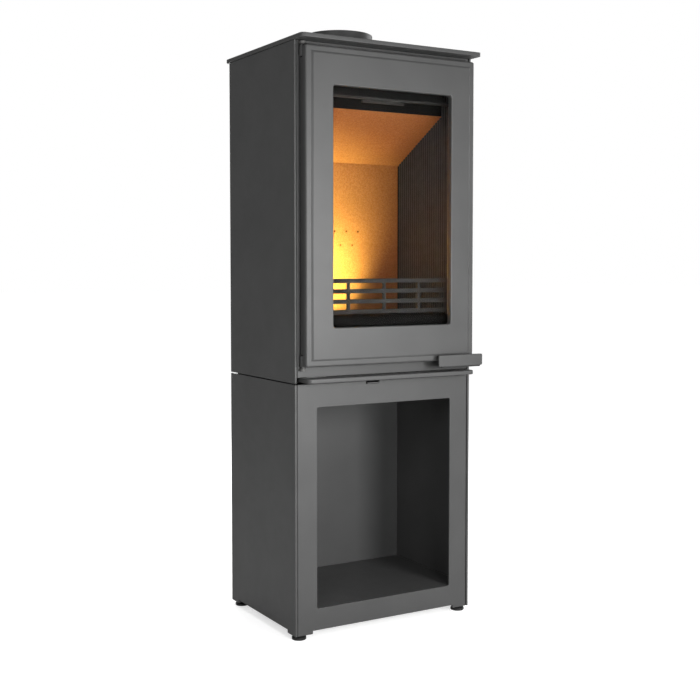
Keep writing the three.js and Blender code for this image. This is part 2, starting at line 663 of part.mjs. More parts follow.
// Hinge brackets on the body front, each with the pin that the door turns on.
const BRACKET_THICK = 5;
function hingeBracket(z) {
  const lug = rodZ(HINGE_X, HINGE_Y, 6, z, z + BRACKET_THICK, 20);
  const foot = block(HINGE_X - 6, HINGE_X + 6, HINGE_Y, 0.3, z, z + BRACKET_THICK);
  return join(lug, foot);
}
const UPPER_BRACKET = DOOR_TOP + 3.2;
const LOWER_BRACKET = DOOR_BOTTOM - 3.2 - BRACKET_THICK;
const PIN_REACH = KNUCKLE - 3;
part(
  'hinge_bracket_upper',
  join(hingeBracket(UPPER_BRACKET), rodZ(HINGE_X, HINGE_Y, 3.5, DOOR_TOP - PIN_REACH, UPPER_BRACKET + 1)),
  STEEL,
);
part(
  'hinge_bracket_lower',
  join(
    hingeBracket(LOWER_BRACKET),
    rodZ(HINGE_X, HINGE_Y, 3.5, LOWER_BRACKET + 1, DOOR_BOTTOM + PIN_REACH),
  ),
  STEEL,
);

// ---- handle and latch ---------------------------------------------------------------------------------

const HANDLE_LEFT = 104.6;
const HANDLE_RIGHT = 217.8;
const PLATE_BACK = -40;
const CORE_BACK = -34.5;
part(
  'handle_plate',
  alongY(roundRect(HANDLE_LEFT, HANDLE_RIGHT, 550, 574, 3), -HANDLE_REACH, PLATE_BACK),
  PAINT,
);
part(
  'handle_core',
  alongY(roundRect(HANDLE_LEFT + 5, HANDLE_RIGHT - 1.5, 546.5, 573.7, 4), PLATE_BACK + GAP, CORE_BACK),
  BLACK,
);
const LATCH_FRONT = -10.5;
const LATCH_BACK = -6.5;
part('handle_spindle', rodY(SPINDLE_X, SPINDLE_Z, 4, CORE_BACK + GAP, LATCH_BACK + 3, 20), STEEL);
const tongue = cut(
  join(
    rodY(SPINDLE_X, SPINDLE_Z, 7, LATCH_FRONT, LATCH_BACK, 20),
    block(SPINDLE_X - 26, SPINDLE_X, LATCH_FRONT, LATCH_BACK, SPINDLE_Z - 3.5, SPINDLE_Z + 3.5),
  ),
  rodY(SPINDLE_X, SPINDLE_Z, 4.3, LATCH_FRONT - 2, LATCH_BACK + 2, 20),
);
part('latch_tongue', tongue, STEEL);

// Catch on the body: a foot plate, and the spring leaf that the end of the tongue drops behind.
const CATCH_X = SPINDLE_X - 50;
part('catch_foot', block(CATCH_X, CATCH_X + 14, -4, 0.3, SPINDLE_Z - 7, SPINDLE_Z + 7), STEEL);
const leaf = outline([
  [CATCH_X, -4.3],
  [CATCH_X, -5.5],
  [CATCH_X + 12, -5.5],
  [CATCH_X + 19, -12.3],
  [CATCH_X + 32, -12.3],
  [CATCH_X + 32, -11.1],
  [CATCH_X + 19.6, -11.1],
  [CATCH_X + 12.6, -4.3],
]);
part('catch_spring', alongZ(leaf, SPINDLE_Z - 4.5, SPINDLE_Z + 4.5), STEEL);

export default stove;
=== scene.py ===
import json
import math

import bpy
from mathutils import Matrix, Vector


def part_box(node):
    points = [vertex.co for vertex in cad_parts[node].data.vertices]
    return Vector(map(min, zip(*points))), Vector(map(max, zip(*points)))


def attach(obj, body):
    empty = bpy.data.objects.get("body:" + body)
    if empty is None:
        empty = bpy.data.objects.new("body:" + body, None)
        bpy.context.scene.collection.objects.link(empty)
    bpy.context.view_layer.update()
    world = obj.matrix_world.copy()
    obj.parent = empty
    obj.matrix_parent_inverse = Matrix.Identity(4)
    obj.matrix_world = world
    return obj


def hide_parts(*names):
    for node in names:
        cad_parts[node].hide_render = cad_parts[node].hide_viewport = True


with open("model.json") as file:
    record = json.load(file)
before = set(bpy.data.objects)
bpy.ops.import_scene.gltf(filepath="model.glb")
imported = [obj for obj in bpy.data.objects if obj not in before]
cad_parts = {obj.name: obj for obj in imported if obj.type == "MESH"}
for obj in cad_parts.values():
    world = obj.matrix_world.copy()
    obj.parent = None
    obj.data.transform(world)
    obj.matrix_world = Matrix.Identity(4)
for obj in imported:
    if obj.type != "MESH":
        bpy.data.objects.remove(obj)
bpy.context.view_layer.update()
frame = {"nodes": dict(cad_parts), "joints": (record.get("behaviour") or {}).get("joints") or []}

nodes = frame["nodes"]


# ---- Side panels --------------------------------------------------------------------------------------
# Laser-cut steel, 4.5 mm thick, in fine-textured anthracite powder coat: one pair round the stove body and
# one pair round the log store, whose corners reach down as short legs. They screw on from inside.

def add_block(name, low, high):
    """A rectangular block between two corners, with its place in its mesh."""
    bpy.ops.object.select_all(action="DESELECT")
    bpy.ops.mesh.primitive_cube_add(size=1, location=(Vector(low) + Vector(high)) / 2)
    piece = bpy.context.object
    piece.name = name
    piece.scale = Vector(high) - Vector(low)
    bpy.ops.object.transform_apply(location=True, rotation=True, scale=True)
    return piece


def make_active(piece):
    bpy.ops.object.select_all(action="DESELECT")
    piece.select_set(True)
    bpy.context.view_layer.objects.active = piece


def start_picking(piece, kind):
    """Clears the selection of a mesh, so that its faces or edges can be picked."""
    make_active(piece)
    bpy.ops.object.mode_set(mode="EDIT")
    bpy.ops.mesh.select_mode(type=kind)
    bpy.ops.mesh.select_all(action="DESELECT")
    bpy.ops.object.mode_set(mode="OBJECT")


def pick_edges(piece, test, sharper):
    """Selects the edges that turn by more than an angle and whose two ends pass a test."""
    start_picking(piece, "EDGE")
    beside = {}
    for face in piece.data.polygons:
        for key in face.edge_keys:
            beside.setdefault(key, []).append(face.normal)
    for edge in piece.data.edges:
        a, b = [piece.data.vertices[i].co for i in edge.vertices]
        normals = beside[edge.key]
        edge.select = math.degrees(normals[0].angle(normals[-1])) > sharper and test(a, b)
    bpy.ops.object.mode_set(mode="EDIT")


def round_edges(piece, width, segments=3, test=lambda a, b: True, sharper=50):
    """Rounds the sharp edges whose two ends pass a test."""
    pick_edges(piece, test, sharper)
    bpy.ops.mesh.bevel(offset=width, segments=segments, affect="EDGES")
    bpy.ops.object.mode_set(mode="OBJECT")


def near(a, b):
    return abs(a - b) < 0.0002


def along(axis):
    """A test for edges that run along X, Y or Z."""
    others = [i for i in range(3) if i != axis]
    return lambda a, b: all(near(a[i], b[i]) for i in others)


def carve(piece, *cutters):
    """Cuts other solids out of a piece, and throws them away."""
    for cutter in cutters:
        cut = piece.modifiers.new("cut", "BOOLEAN")
        cut.operation = "DIFFERENCE"
        cut.solver = "EXACT"
        cut.object = cutter
        make_active(piece)
        bpy.ops.object.modifier_apply(modifier=cut.name)
        bpy.data.objects.remove(cutter)


def finish(piece, material, slot, body, *stands_for, smooth=40):
    """Cleans and smooths a finished piece, coats it, and hangs it on its body."""
    make_active(piece)
    bpy.ops.object.mode_set(mode="EDIT")
    bpy.ops.mesh.select_all(action="SELECT")
    bpy.ops.mesh.remove_doubles(threshold=0.00001)
    bpy.ops.mesh.dissolve_degenerate(threshold=0.00001)
    bpy.ops.object.mode_set(mode="OBJECT")
    bpy.ops.object.shade_smooth_by_angle(angle=math.radians(smooth))
    even = piece.modifiers.new("even_shading", "WEIGHTED_NORMAL")
    even.keep_sharp = True
    bpy.ops.object.modifier_apply(modifier=even.name)
    piece.data.materials.clear()
    piece.data.materials.append(material)
    if stands_for:
        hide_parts(*stands_for)
    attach(piece, body)


def new_material(name):
    """A material, its node tree, its shader and the object's own coordinates."""
    material = bpy.data.materials.new(name)
    material.use_nodes = True
    tree = material.node_tree
    place = tree.nodes.new("ShaderNodeTexCoord").outputs["Object"]
    return material, tree, tree.nodes["Principled BSDF"], place


def noise(tree, place, scale, detail=3.0):
    texture = tree.nodes.new("ShaderNodeTexNoise")
    texture.inputs["Scale"].default_value = scale
    texture.inputs["Detail"].default_value = detail
    tree.links.new(place, texture.inputs["Vector"])
    return texture.outputs["Fac"]


def tones(tree, value, *stops):
    """Turns a value into a colour through (place, colour) stops."""
    ramp = tree.nodes.new("ShaderNodeValToRGB")
    while len(ramp.color_ramp.elements) < len(stops):
        ramp.color_ramp.elements.new(0.5)
    for element, (position, colour) in zip(ramp.color_ramp.elements, stops):
        element.position = position
        element.color = (*colour, 1.0)
    tree.links.new(value, ramp.inputs["Fac"])
    return ramp.outputs["Color"]


def spread(tree, value, low, high):
    """Stretches a value between 0 and 1 to another range."""
    stretch = tree.nodes.new("ShaderNodeMapRange")
    stretch.inputs["To Min"].default_value = low
    stretch.inputs["To Max"].default_value = high
    tree.links.new(value, stretch.inputs["Value"])
    return stretch.outputs["Result"]


def bumps(tree, height, depth, strength=0.5, below=None):
    """A bump of some depth, on top of another one if given."""
    bump = tree.nodes.new("ShaderNodeBump")
    bump.inputs["Strength"].default_value = strength
    bump.inputs["Distance"].default_value = depth
    tree.links.new(height, bump.inputs["Height"])
    if below:
        tree.links.new(below, bump.inputs["Normal"])
    return bump.outputs["Normal"]


def powder_coat(name, dark, light, roughness, grain_scale, grain_depth):
    """A sprayed coat: nearly one tone, a fine orange-peel grain, and a gloss that wanders a little."""
    material, tree, shader, place = new_material(name)
    cloud = noise(tree, place, 9.0, 5.0)
    tree.links.new(tones(tree, cloud, (0.35, dark), (0.65, light)), shader.inputs["Base Color"])
    gloss = spread(tree, noise(tree, place, 40.0), roughness - 0.04, roughness + 0.04)
    tree.links.new(gloss, shader.inputs["Roughness"])
    fine = bumps(tree, noise(tree, place, grain_scale), grain_depth)
    grain = bumps(tree, noise(tree, place, grain_scale / 4), grain_depth, 0.25, fine)
    tree.links.new(grain, shader.inputs["Normal"])
    shader.inputs["Specular IOR Level"].default_value = 0.3
    return material


coat_dark, coat_light = (0.036, 0.0362, 0.036), (0.041, 0.0412, 0.041)
anthracite = powder_coat("anthracite_coat", coat_dark, coat_light, 0.46, 1500.0, 0.00012)

leg_width = 0.036
leg_height = 0.0065
for level in ("body", "base"):
    for side in ("left", "right"):
        node = f"{level}_side_{side}"
        low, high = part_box(node)
        panel = add_block(f"{level}_panel_{side}", low, high)
        if level == "base":
            between_legs_low = (low.x - 0.01, low.y + leg_width, low.z - 0.01)
            between_legs_high = (high.x + 0.01, high.y - leg_width, low.z + leg_height)
            carve(panel, add_block("between_legs", between_legs_low, between_legs_high))
        round_edges(panel, 0.0008)
        finish(panel, anthracite, "paint", "stove", node)


# ---- Fronts of the body and of the log store ----------------------------------------------------------
# Folded steel fronts, 4.4 mm at the face, whose outer bends have a soft radius against the side panels.
# The lower one frames the log store and is notched for the air tab; the upper one is hidden by the door.

def join(*pieces):
    bpy.ops.object.select_all(action="DESELECT")
    for piece in pieces:
        piece.select_set(True)
    bpy.context.view_layer.objects.active = pieces[0]
    bpy.ops.object.join()
    return pieces[0]


def rounded_cutter(name, low, high, radius, axis=1, segments=5):
    """A block with the four edges along one axis rounded, to cut an opening with."""
    cutter = add_block(name, low, high)
    round_edges(cutter, radius, segments, along(axis))
    return cutter


def on_plane(axis, value):
    """A test for edges that lie in one plane across X, Y or Z."""
    return lambda a, b: near(a[axis], value) and near(b[axis], value)


face_thickness = 0.0044
bend_radius = 0.0036
return_thickness = 0.003
return_depth = 0.018
lower_return_top = 0.5245
upper_return_top = 1.2102


def folded_front(name, node, opening_low, opening_high, opening_radius):
    """A face with a rounded opening, soft outer bends, and a return behind each bend."""
    low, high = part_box(node)
    half = high.x - 0.0003
    face = add_block(name, (-half, low.y, low.z), (half, low.y + face_thickness, high.z))
    through = (opening_low[0], low.y - 0.01, opening_low[1])
    out = (opening_high[0], low.y + 0.02, opening_high[1])
    carve(face, rounded_cutter("opening", through, out, opening_radius))
    at_face = on_plane(1, low.y)
    at_side = lambda a, b: near(abs(a.x), half) and near(a.x, b.x)
    round_edges(face, bend_radius, 6, lambda a, b: at_face(a, b) and at_side(a, b))
    return face, low, half


def side_returns(low, half, bottom, top):
    """The narrow folds behind the two outer bends of a front."""
    folds = []
    for side in (-1, 1):
        ends = sorted((side * half, side * (half - return_thickness)))
        fold_low = (ends[0], low.y + face_thickness, bottom)
        folds.append(add_block("return", fold_low, (ends[1], low.y + return_depth, top)))
    return folds


store_low, store_high = (-0.165, 0.0616), (0.165, 0.476)
lower_face, low, half = folded_front("log_store_front", "base_front", store_low, store_high, 0.004)
notch_low, notch_high = (-0.048, low.y - 0.01, 0.518), (-0.016, low.y + 0.02, 0.54)
legs_low = (-half + leg_width, low.y - 0.01, low.z - 0.01)
legs_high = (half - leg_width, low.y + 0.02, low.z + leg_height)
carve(lower_face, add_block("air_notch", notch_low, notch_high))
carve(lower_face, add_block("between_legs", legs_low, legs_high))
round_edges(lower_face, 0.0009, 3, lambda a, b: max(a.y, b.y) < low.y + 0.0005)
returns = side_returns(low, half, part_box("foot_rail_front")[1].z + 0.005, lower_return_top)
finish(join(lower_face, *returns), anthracite, "paint", "stove", "base_front")

mouth_low, mouth_high = (-0.164, 0.607), (0.164, 1.153)
upper_face, low, half = folded_front("stove_front", "body_front", mouth_low, mouth_high, 0.003)
round_edges(upper_face, 0.0008, 2, lambda a, b: max(a.y, b.y) < low.y + 0.0005)
returns = side_returns(low, half, low.z, upper_return_top)
finish(join(upper_face, *returns), anthracite, "paint", "stove", "body_front")


# ---- Log store inside, decks and rear panels ----------------------------------------------------------
# Folded 2 and 3 mm sheet in the same coat, with a small angle that closes the seam at the back of the deck.
# The rear cover has two rows of vent slots, and button-head screws so that it can come off for cleaning.

def trim_node(name, material, edge=0.0006, segments=2):
    """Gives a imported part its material, and soft edges through live modifiers."""
    node = nodes[name]
    node.data.materials.clear()
    node.data.materials.append(material)
    weld = node.modifiers.new("merge", "WELD")
    weld.merge_threshold = 0.00002
    flat = node.modifiers.new("flat_faces", "DECIMATE")
    flat.decimate_type = "DISSOLVE"
    flat.angle_limit = math.radians(1)
    rounding = node.modifiers.new("edges", "BEVEL")
    rounding.width = edge
    rounding.segments = segments
    rounding.limit_method = "ANGLE"
    rounding.angle_limit = math.radians(35)
    node.data.polygons.foreach_set("use_smooth", [True] * len(node.data.polygons))
    even = node.modifiers.new("shading", "WEIGHTED_NORMAL")
    even.keep_sharp = True


for name in ("base_back", "store_floor", "store_ceiling", "base_deck", "body_floor", "rear_cover"):
    trim_node(name, anthracite)


def add_to(piece, other):
    """Joins another solid to a piece as one closed body."""
    union = piece.modifiers.new("union", "BOOLEAN")
    union.operation = "UNION"
    union.solver = "EXACT"
    union.object = other
    make_active(piece)
    bpy.ops.object.modifier_apply(modifier=union.name)
    bpy.data.objects.remove(other)


def turned(name, profile, centre, axis, steps=48):
    """A turned piece: (radius, height) pairs round a closed section, spun about an axis."""
    direction = Vector(axis)
    across = direction.orthogonal().normalized()
    corners = [Vector(centre) + across * radius + direction * height for radius, height in profile]
    bpy.ops.object.select_all(action="DESELECT")
    bpy.ops.mesh.primitive_circle_add(vertices=len(corners), radius=0.01)
    piece = bpy.context.object
    piece.name = name
    bpy.ops.object.transform_apply(location=True, rotation=True, scale=True)
    for vertex, corner in zip(piece.data.vertices, corners):
        vertex.co = corner
    bpy.ops.object.mode_set(mode="EDIT")
    bpy.ops.mesh.select_all(action="SELECT")
    bpy.ops.mesh.spin(steps=steps, angle=2 * math.pi, center=centre, axis=axis)
    bpy.ops.mesh.select_all(action="SELECT")
    bpy.ops.mesh.remove_doubles(threshold=0.00002)
    bpy.ops.mesh.normals_make_consistent(inside=False)
    bpy.ops.object.mode_set(mode="OBJECT")
    return piece


def copy_of(piece, name, shift):
    """A copy with its own mesh, moved in its mesh."""
    twin = piece.copy()
    twin.data = piece.data.copy()
    twin.data.transform(Matrix.Translation(shift))
    twin.name = name
    bpy.context.collection.objects.link(twin)
    return twin


def button_screw(name, centre, axis, radius):
    """A domed screw head with a hexagon socket, on its thread."""
    height = radius * 0.55
    profile = [(0.0, -0.006)]
    profile += [(radius * 0.5, -0.006), (radius * 0.5, 0.0), (radius, 0.0)]
    profile += [(radius, height * 0.25), (radius * 0.92, height * 0.6), (radius * 0.7, height * 0.9)]
    profile += [(radius * 0.4, height), (0.0, height)]
    head = turned(name, profile, centre, axis, 24)
    bpy.ops.object.select_all(action="DESELECT")
    bpy.ops.mesh.primitive_cylinder_add(vertices=6, radius=radius * 0.45, depth=height * 1.4)
    socket = bpy.context.object
    socket.rotation_mode = "QUATERNION"
    socket.rotation_quaternion = Vector(axis).to_track_quat("Z", "Y")
    socket.location = Vector(centre) + Vector(axis) * height
    bpy.ops.object.transform_apply(location=True, rotation=True, scale=True)
    carve(head, socket)
    return head


def plated_steel(name, dark, light, roughness, streak):
    """Rolled and zinc-plated steel: streaks along one axis and a faint cloud of spangle."""
    material, tree, shader, place = new_material(name)
    stretch = tree.nodes.new("ShaderNodeMapping")
    stretch.inputs["Scale"].default_value = streak
    tree.links.new(place, stretch.inputs["Vector"])
    lines = noise(tree, stretch.outputs["Vector"], 90.0, 4.0)
    tree.links.new(tones(tree, lines, (0.3, dark), (0.7, light)), shader.inputs["Base Color"])
    tree.links.new(spread(tree, lines, roughness - 0.08, roughness + 0.1), shader.inputs["Roughness"])
    tree.links.new(bumps(tree, lines, 0.00004, 0.4), shader.inputs["Normal"])
    shader.inputs["Metallic"].default_value = 0.9
    return material


rolled = (0.15, 3.0, 3.0)
even_all_ways = (1.0, 1.0, 1.0)
black_dark, black_light = (0.035, 0.034, 0.033), (0.055, 0.053, 0.051)
steel = plated_steel("plated_steel", (0.24, 0.24, 0.235), (0.33, 0.33, 0.325), 0.42, rolled)
dark_steel = plated_steel("blackened_steel", black_dark, black_light, 0.4, even_all_ways)

cover_low, cover_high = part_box("rear_cover")
first = button_screw("rear_screw", (-0.2, cover_high.y + 0.0001, cover_low.z + 0.012), (0, 1, 0), 0.0042)
finish(first, dark_steel, "plain_steel", "stove")
rise = (cover_high.z - cover_low.z - 0.024) / 4
for column in range(2):
    for row in range(5):
        if column or row:
            screw = copy_of(first, f"rear_screw_{column}_{row}", (column * 0.4, 0, row * rise))
            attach(screw, "stove")

low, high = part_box("base_deck")
angle_sheet = 0.0012
seat = high.z + 0.0002
angle_low = (low.x, high.y - 0.011, seat)
angle_foot = add_block("deck_angle", angle_low, (high.x, high.y, seat + angle_sheet))
upright_low = (low.x, high.y - angle_sheet, seat)
add_to(angle_foot, add_block("angle_upright", upright_low, (high.x, high.y, high.z + 0.0043)))
round_edges(angle_foot, 0.0003, 2, sharper=60)
finish(angle_foot, anthracite, "paint", "stove")


# ---- Top plate and ash lip ----------------------------------------------------------------------------
# 8.5 and 9 mm steel with the same coat, cut with rounded corners and softened edges. The top plate lies on
# the body and reaches out over the door; the lip below the door catches ash.

low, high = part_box("top_plate")
collar_low, collar_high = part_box("flue_collar")
flue = (collar_low + collar_high) / 2
collar_outer = 0.075
top_plate = add_block("top_plate_steel", low, high)
round_edges(top_plate, 0.009, 8, along(2))
bpy.ops.object.select_all(action="DESELECT")
hole_radius = collar_outer + 0.001
hole_place = (flue.x, flue.y, low.z)
bpy.ops.mesh.primitive_cylinder_add(vertices=96, radius=hole_radius, depth=0.1, location=hole_place)
flue_hole = bpy.context.object
bpy.ops.object.transform_apply(location=True, rotation=True, scale=True)
carve(top_plate, flue_hole)
round_edges(top_plate, 0.0013, 3, sharper=60)
finish(top_plate, anthracite, "paint", "stove", "top_plate")

low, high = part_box("ash_lip")
ash_lip = add_block("ash_lip_steel", low, high)
round_edges(ash_lip, 0.0115, 8, lambda a, b: along(2)(a, b) and near(a.y, low.y))
round_edges(ash_lip, 0.0016, 3, sharper=60)
finish(ash_lip, anthracite, "paint", "stove", "ash_lip")


# ---- Flue collar --------------------------------------------------------------------------------------
# A turned and painted spigot, 150 mm outside and 144 mm inside, on a flange that is bolted to the
# firebox roof; the four bolts are not drawn. Its rim is rounded.

collar_inner = 0.072
flange = (collar_high.x - collar_low.x) / 2
tall = collar_high.z - collar_low.z
collar_profile = [(collar_inner, 0.0), (flange - 0.0005, 0.0), (flange, 0.0005)]
collar_profile += [(flange, 0.0052), (flange - 0.0006, 0.0058), (collar_outer + 0.002, 0.0062)]
collar_profile += [(collar_outer + 0.0005, 0.0068), (collar_outer, 0.0085)]
collar_profile += [(collar_outer, tall - 0.0009), (collar_outer - 0.0003, tall - 0.0003)]
collar_profile += [(collar_outer - 0.0009, tall), (collar_inner + 0.0009, tall)]
collar_profile += [(collar_inner + 0.0003, tall - 0.0003), (collar_inner, tall - 0.0009)]
collar = turned("turned_flue_collar", collar_profile, (flue.x, flue.y, collar_low.z), (0, 0, 1), 96)
finish(collar, anthracite, "paint", "stove", "flue_collar", smooth=32)


# ---- Firebox shell ------------------------------------------------------------------------------------
# Welded 4 mm steel box in matt heat-resistant black, seen only past the linings and through the door.

def cast_surface(name, dark, light, roughness, lump_depth):
    """Sand-cast iron in matt paint: a coarse skin with fine pits, and a few burnt lighter patches."""
    material, tree, shader, place = new_material(name)
    patches = noise(tree, place, 14.0, 6.0)
    colour = tones(tree, patches, (0.3, dark), (0.55, dark), (0.8, light))
    tree.links.new(colour, shader.inputs["Base Color"])
    dullness = spread(tree, noise(tree, place, 90.0), roughness - 0.08, roughness + 0.08)
    tree.links.new(dullness, shader.inputs["Roughness"])
    pits = bumps(tree, noise(tree, place, 900.0), lump_depth * 0.5)
    tree.links.new(bumps(tree, noise(tree, place, 260.0), lump_depth, 0.5, pits), shader.inputs["Normal"])
    shader.inputs["Specular IOR Level"].default_value = 0.2
    return material


cast_iron = cast_surface("cast_iron", (0.017, 0.0165, 0.016), (0.027, 0.025, 0.0235), 0.66, 0.0003)
for side in ("left_wall", "right_wall", "back_wall", "floor", "roof"):
    trim_node(f"firebox_{side}", cast_iron)


# ---- Linings, grate and hearth ------------------------------------------------------------------------
# Sand-cast iron: two side linings with upright ribs, grey on the crests with painted shade in the grooves,
# and, smoked black and made darker still as painted shade, the hearth plate with its loose slotted grate
# and the curved apron behind the glass.

rib_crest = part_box("lining_right")[0].x
rib_depth = 0.003
groove_shaded_iron, tree, shader, place = new_material("groove_shaded_cast_iron")
sides = tree.nodes.new("ShaderNodeSeparateXYZ")
tree.links.new(place, sides.inputs["Vector"])
from_middle = tree.nodes.new("ShaderNodeMath")
from_middle.operation = "ABSOLUTE"
tree.links.new(sides.outputs["X"], from_middle.inputs[0])
# Painted shade: the grooves between the ribs fade to near-black by how far they lie behind the crests.
groove_shade_mask = tree.nodes.new("ShaderNodeMapRange")
groove_shade_mask.inputs["From Min"].default_value = rib_crest + 0.0004
groove_shade_mask.inputs["From Max"].default_value = rib_crest + rib_depth * 0.8
tree.links.new(from_middle.outputs["Value"], groove_shade_mask.inputs["Value"])
crest_noise = noise(tree, place, 60.0, 5.0)
crest_colour = tones(tree, crest_noise, (0.3, (0.064, 0.072, 0.080)), (0.7, (0.084, 0.094, 0.104)))
groove_shade_mix = tree.nodes.new("ShaderNodeMix")
groove_shade_mix.data_type = "RGBA"
crest_input, groove_shade_black = [socket for socket in groove_shade_mix.inputs if socket.type == "RGBA"]
groove_shade_black.default_value = (0.006, 0.006, 0.006, 1.0)
tree.links.new(crest_colour, crest_input)
tree.links.new(groove_shade_mask.outputs["Result"], groove_shade_mix.inputs["Factor"])
rib_colour = next(socket for socket in groove_shade_mix.outputs if socket.type == "RGBA")
tree.links.new(rib_colour, shader.inputs["Base Color"])
tree.links.new(spread(tree, noise(tree, place, 90.0), 0.6, 0.75), shader.inputs["Roughness"])
tree.links.new(bumps(tree, noise(tree, place, 500.0), 0.0002), shader.inputs["Normal"])
shader.inputs["Specular IOR Level"].default_value = 0.2
for name in ("lining_left", "lining_right"):
    trim_node(name, groove_shaded_iron, 0.0004)
# Partly painted shade: this smoked iron is darker than the other iron, so that the apron behind the glass
# and the strip in front of the baffle read as in shadow.
smoked_and_shaded_iron = cast_surface("smoked_and_shaded_iron", (0.007, 0.007, 0.007), (0.012, 0.0115, 0.011), 0.7, 0.0003)
for name in ("hearth_plate", "grate", "hearth_apron", "baffle_front_strip"):
    trim_node(name, smoked_and_shaded_iron, 0.0008)
for name in ("hearth_rail_left", "hearth_rail_right", "ash_pan"):
    trim_node(name, dark_steel, 0.0005)


# ---- Insulating boards --------------------------------------------------------------------------------
# Pressed vermiculite, 22 to 24 mm thick: orange-brown flakes, soft at the edges, and a little darker where
# smoke has passed. The back board has two rows of air holes fed by a blackened steel duct behind it, and
# an iron deflector above the glass guides the air that keeps it clear.

vermiculite, tree, shader, place = new_material("vermiculite")
flakes = tree.nodes.new("ShaderNodeTexVoronoi")
flakes.inputs["Scale"].default_value = 420.0
tree.links.new(place, flakes.inputs["Vector"])
flake_tone = tree.nodes.new("ShaderNodeSeparateColor")
tree.links.new(flakes.outputs["Color"], flake_tone.inputs["Color"])
flake_stops = [(0.0, (0.47, 0.17, 0.044)), (0.5, (0.53, 0.20, 0.056)), (1.0, (0.59, 0.24, 0.074))]
flake_colour = tones(tree, flake_tone.outputs["Red"], *flake_stops)
smoke = tones(tree, noise(tree, place, 6.0, 4.0), (0.3, (0.82, 0.79, 0.76)), (0.7, (1.0, 1.0, 1.0)))
smoked = tree.nodes.new("ShaderNodeMix")
smoked.data_type = "RGBA"
smoked.blend_type = "MULTIPLY"
smoked.inputs["Factor"].default_value = 1.0
below, above = [socket for socket in smoked.inputs if socket.type == "RGBA"]
tree.links.new(flake_colour, below)
tree.links.new(smoke, above)
mixed = next(socket for socket in smoked.outputs if socket.type == "RGBA")
tree.links.new(mixed, shader.inputs["Base Color"])
tree.links.new(spread(tree, flake_tone.outputs["Green"], 0.78, 0.95), shader.inputs["Roughness"])
coarse = bumps(tree, flakes.outputs["Distance"], 0.0004, 0.5)
tree.links.new(bumps(tree, noise(tree, place, 120.0), 0.0006, 0.4, coarse), shader.inputs["Normal"])
for name in ("back_board", "baffle_board"):
    trim_node(name, vermiculite, 0.001)
for name in ("back_air_duct", "upper_baffle"):
    trim_node(name, dark_steel, 0.0005)
grey_iron = cast_surface("fence_iron", (0.060, 0.0595, 0.058), (0.074, 0.073, 0.071), 0.5, 0.00025)
for name in ("air_wash_deflector", "air_wash_clip"):
    trim_node(name, grey_iron, 0.0004)


# ---- Log fence ----------------------------------------------------------------------------------------
# One iron casting, 5 mm thick: four bars joined by five posts, with the windows' corners left round by
# the mould. It stands on the apron and lifts out for cleaning.

low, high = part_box("log_fence")
bar = 0.009
post = 0.007
pitch = 0.0867
gap_height = (high.z - low.z - 4 * bar) / 3
log_fence = add_block("cast_log_fence", low, high)
edges = [low.x + bar - post / 2, -pitch, 0.0, pitch, high.x - bar + post / 2]
for row in range(3):
    bottom = low.z + bar + row * (gap_height + bar)
    for left, right in zip(edges, edges[1:]):
        gap_low = (left + post / 2, low.y - 0.01, bottom)
        gap_high = (right - post / 2, high.y + 0.01, bottom + gap_height)
        carve(log_fence, rounded_cutter("gap", gap_low, gap_high, 0.002, segments=3))
round_edges(log_fence, 0.002, 3, along(1), sharper=80)
round_edges(log_fence, 0.0011, 3, lambda a, b: near(a.y, b.y), sharper=60)
finish(log_fence, grey_iron, "cast_iron", "stove", "log_fence")


# ---- Air control and rear air inlet -------------------------------------------------------------------
# Coated steel slide under the body floor, between two plated guides, with its flat tab in the notch
# under the lip. At the back is an 80 mm turned spigot for outside air.

trim_node("air_slide", anthracite, 0.0004)
for name in ("air_slide_guide_left", "air_slide_guide_right"):
    trim_node(name, steel, 0.0004)
low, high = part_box("air_inlet_spigot")
reach = high.y - low.y
inlet_outer = 0.04
plate_at = cover_high.y + 0.0003 - low.y
inlet_profile = [(inlet_outer - 0.002, 0.0), (inlet_outer, 0.0), (inlet_outer, plate_at)]
inlet_profile += [(high.x, plate_at), (high.x, plate_at + 0.0016), (high.x - 0.0006, plate_at + 0.0022)]
inlet_profile += [(inlet_outer + 0.001, plate_at + 0.0022), (inlet_outer, plate_at + 0.0032)]
inlet_profile += [(inlet_outer, reach - 0.0006), (inlet_outer - 0.0006, reach)]
inlet_profile += [(inlet_outer - 0.0014, reach), (inlet_outer - 0.002, reach - 0.0006)]
inlet_centre = ((low.x + high.x) / 2, low.y, (low.z + high.z) / 2)
inlet = turned("turned_air_inlet", inlet_profile, inlet_centre, (0, 1, 0), 64)
finish(inlet, steel, "plain_steel", "stove", "air_inlet_spigot", smooth=32)


# ---- Door frame ---------------------------------------------------------------------------------------
# One iron casting in the anthracite coat: a flat rim with a full outer radius, a shallow bevel up to the
# raised field, and a window with softened edges. Behind are a thin skirt round the edge, the glass rebate,
# the rope channel between two rings, and the two hinge knuckles.

low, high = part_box("door_frame")
door_face = low.y
door_rim = door_face + 0.003
door_back = door_face + 0.0175
ring_back = door_face + 0.027
half_door = high.x
window_half, window_low_z, window_high_z = 0.1437, 0.639, 1.123
outer_corner = 0.005
casting_low = (-half_door, door_rim, low.z)
casting_high = (half_door, door_back, high.z)
door = rounded_cutter("cast_door_frame", casting_low, casting_high, outer_corner)
round_edges(door, 0.0042, 6, on_plane(1, door_rim), sharper=60)


def pick_faces(piece, test):
    """Selects the faces whose middle and normal pass a test, in edit mode."""
    start_picking(piece, "FACE")
    for face in piece.data.polygons:
        face.select = test(face.center, face.normal)
    bpy.ops.object.mode_set(mode="EDIT")


